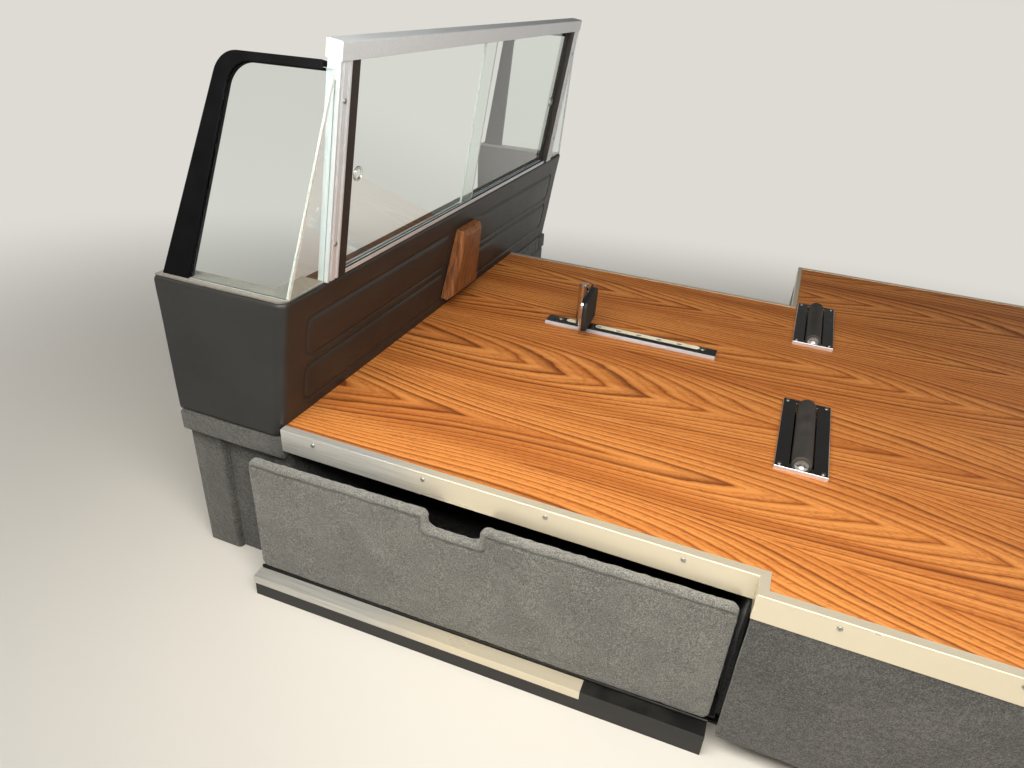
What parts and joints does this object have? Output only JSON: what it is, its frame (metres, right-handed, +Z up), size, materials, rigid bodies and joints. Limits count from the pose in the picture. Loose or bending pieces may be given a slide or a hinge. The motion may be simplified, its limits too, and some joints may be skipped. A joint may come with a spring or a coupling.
{
  "type": "casket deck with driver's partition",
  "caption": "Woodgrain load deck on a steel sub-frame, with rollers, bier pins, a tilting kick panel over a storage well, and an upholstered wall with sliding glass.",
  "frame": {"origin": "centre of the bounding box's underside, on the floor that the feet stand on", "axes": "+X rearward along the deck, +Y from the near door side to the far side, +Z up"},
  "size_m": [3.088, 1.519, 1.0032],
  "materials": {
    "woodgrain_laminate": "satin",
    "oiled_oak": "satin",
    "brushed_stainless": "brushed",
    "chrome_plate": "polished",
    "ivory_inlay": "satin",
    "black_rubber": "matte",
    "grey_rubber": "matte",
    "black_steel": "satin",
    "plain_steel": "satin",
    "grey_carpet": "cut pile",
    "dark_carpet": "cut pile",
    "core_board": "matte",
    "charcoal_vinyl": "grained",
    "grey_felt": "felt",
    "anodised_aluminium": "anodised",
    "black_seal": "matte",
    "black_trim": "satin",
    "clear_glass": "polished",
    "clear_pull": "polished"
  },
  "bodies": {
    "deck_unit": {"bier_inlays": "ivory_inlay", "bumper_block": "oiled_oak", "cross_members": "black_steel", "deck_board": "woodgrain_laminate", "deck_rails": "black_steel", "far_base_rail": "grey_carpet", "far_edge_trim": "brushed_stainless", "far_post": "anodised_aluminium", "far_return": "charcoal_vinyl", "far_side_board": "grey_carpet", "far_side_jamb": "black_trim", "far_side_pane": "clear_glass", "far_sliding_pane": "clear_glass", "felt_ledges": "grey_felt", "filler_panes": "clear_glass", "finger_pulls": "clear_pull", "front_bier_plate": "chrome_plate", "front_bulkhead": "grey_carpet", "glass_runs": "black_seal", "glass_track": "anodised_aluminium", "header_rail": "anodised_aluminium", "kick_panel_hinge": "plain_steel", "lower_cheeks": "grey_carpet", "near_base_rail": "grey_carpet", "near_edge_moulding": "brushed_stainless", "near_post": "anodised_aluminium", "near_return": "charcoal_vinyl", "near_side_board": "grey_carpet", "near_side_jamb": "black_trim", "near_side_pane": "clear_glass", "near_sliding_pane": "clear_glass", "notch_rear_board": "grey_carpet", "notch_side_board": "grey_carpet", "partition_core": "core_board", "rear_bier_plate": "chrome_plate", "rear_threshold_plate": "brushed_stainless", "roller_cradles": "chrome_plate", "sill_plate": "brushed_stainless", "sill_rail": "black_steel", "support_legs": "black_steel", "tray_back_board": "dark_carpet", "tray_bearers": "black_steel", "tray_floor": "dark_carpet", "tray_rear_board": "dark_carpet", "wall_base_rail": "grey_carpet", "wall_panel": "charcoal_vinyl"},
    "near_roller_1": {"near_roller_1": "grey_rubber"},
    "near_roller_2": {"near_roller_2": "grey_rubber"},
    "near_roller_3": {"near_roller_3": "grey_rubber"},
    "far_roller_1": {"far_roller_1": "grey_rubber"},
    "far_roller_2": {"far_roller_2": "grey_rubber"},
    "far_roller_3": {"far_roller_3": "grey_rubber"},
    "kick_panel": {"kick_panel": "grey_carpet"},
    "front_bier_pin": {"front_bier_pin": "chrome_plate", "front_bier_rubber": "black_rubber"},
    "rear_bier_pin": {"rear_bier_pin": "chrome_plate", "rear_bier_rubber": "black_rubber"}
  },
  "joints": [
    {"name": "near_roller_1_spin", "type": "hinge", "parent": "deck_unit", "child": "near_roller_1", "pos_m": [-0.4235, -0.26345, 0.368], "axis": [0, 1, 0], "continuous": true},
    {"name": "far_roller_1_spin", "type": "hinge", "parent": "deck_unit", "child": "far_roller_1", "pos_m": [-0.4235, 0.29855, 0.368], "axis": [0, 1, 0], "continuous": true},
    {"name": "near_roller_2_spin", "type": "hinge", "parent": "deck_unit", "child": "near_roller_2", "pos_m": [0.2765, -0.26345, 0.368], "axis": [0, 1, 0], "continuous": true},
    {"name": "far_roller_2_spin", "type": "hinge", "parent": "deck_unit", "child": "far_roller_2", "pos_m": [0.2765, 0.29855, 0.368], "axis": [0, 1, 0], "continuous": true},
    {"name": "near_roller_3_spin", "type": "hinge", "parent": "deck_unit", "child": "near_roller_3", "pos_m": [0.9765, -0.26345, 0.368], "axis": [0, 1, 0], "continuous": true},
    {"name": "far_roller_3_spin", "type": "hinge", "parent": "deck_unit", "child": "far_roller_3", "pos_m": [0.9765, 0.29855, 0.368], "axis": [0, 1, 0], "continuous": true},
    {"name": "kick_panel_tilt", "type": "hinge", "parent": "deck_unit", "child": "kick_panel", "pos_m": [-0.90822, -0.71768, 0.051], "axis": [0.9997, 0.0244, 0], "range_deg": [0, 65]},
    {"name": "front_bier_pin_lift", "type": "slide", "parent": "deck_unit", "child": "front_bier_pin", "axis": [0, 0, 1], "range_m": [0, 0.03]},
    {"name": "rear_bier_pin_lift", "type": "slide", "parent": "deck_unit", "child": "rear_bier_pin", "axis": [0, 0, 1], "range_m": [0, 0.03]}
  ]
}
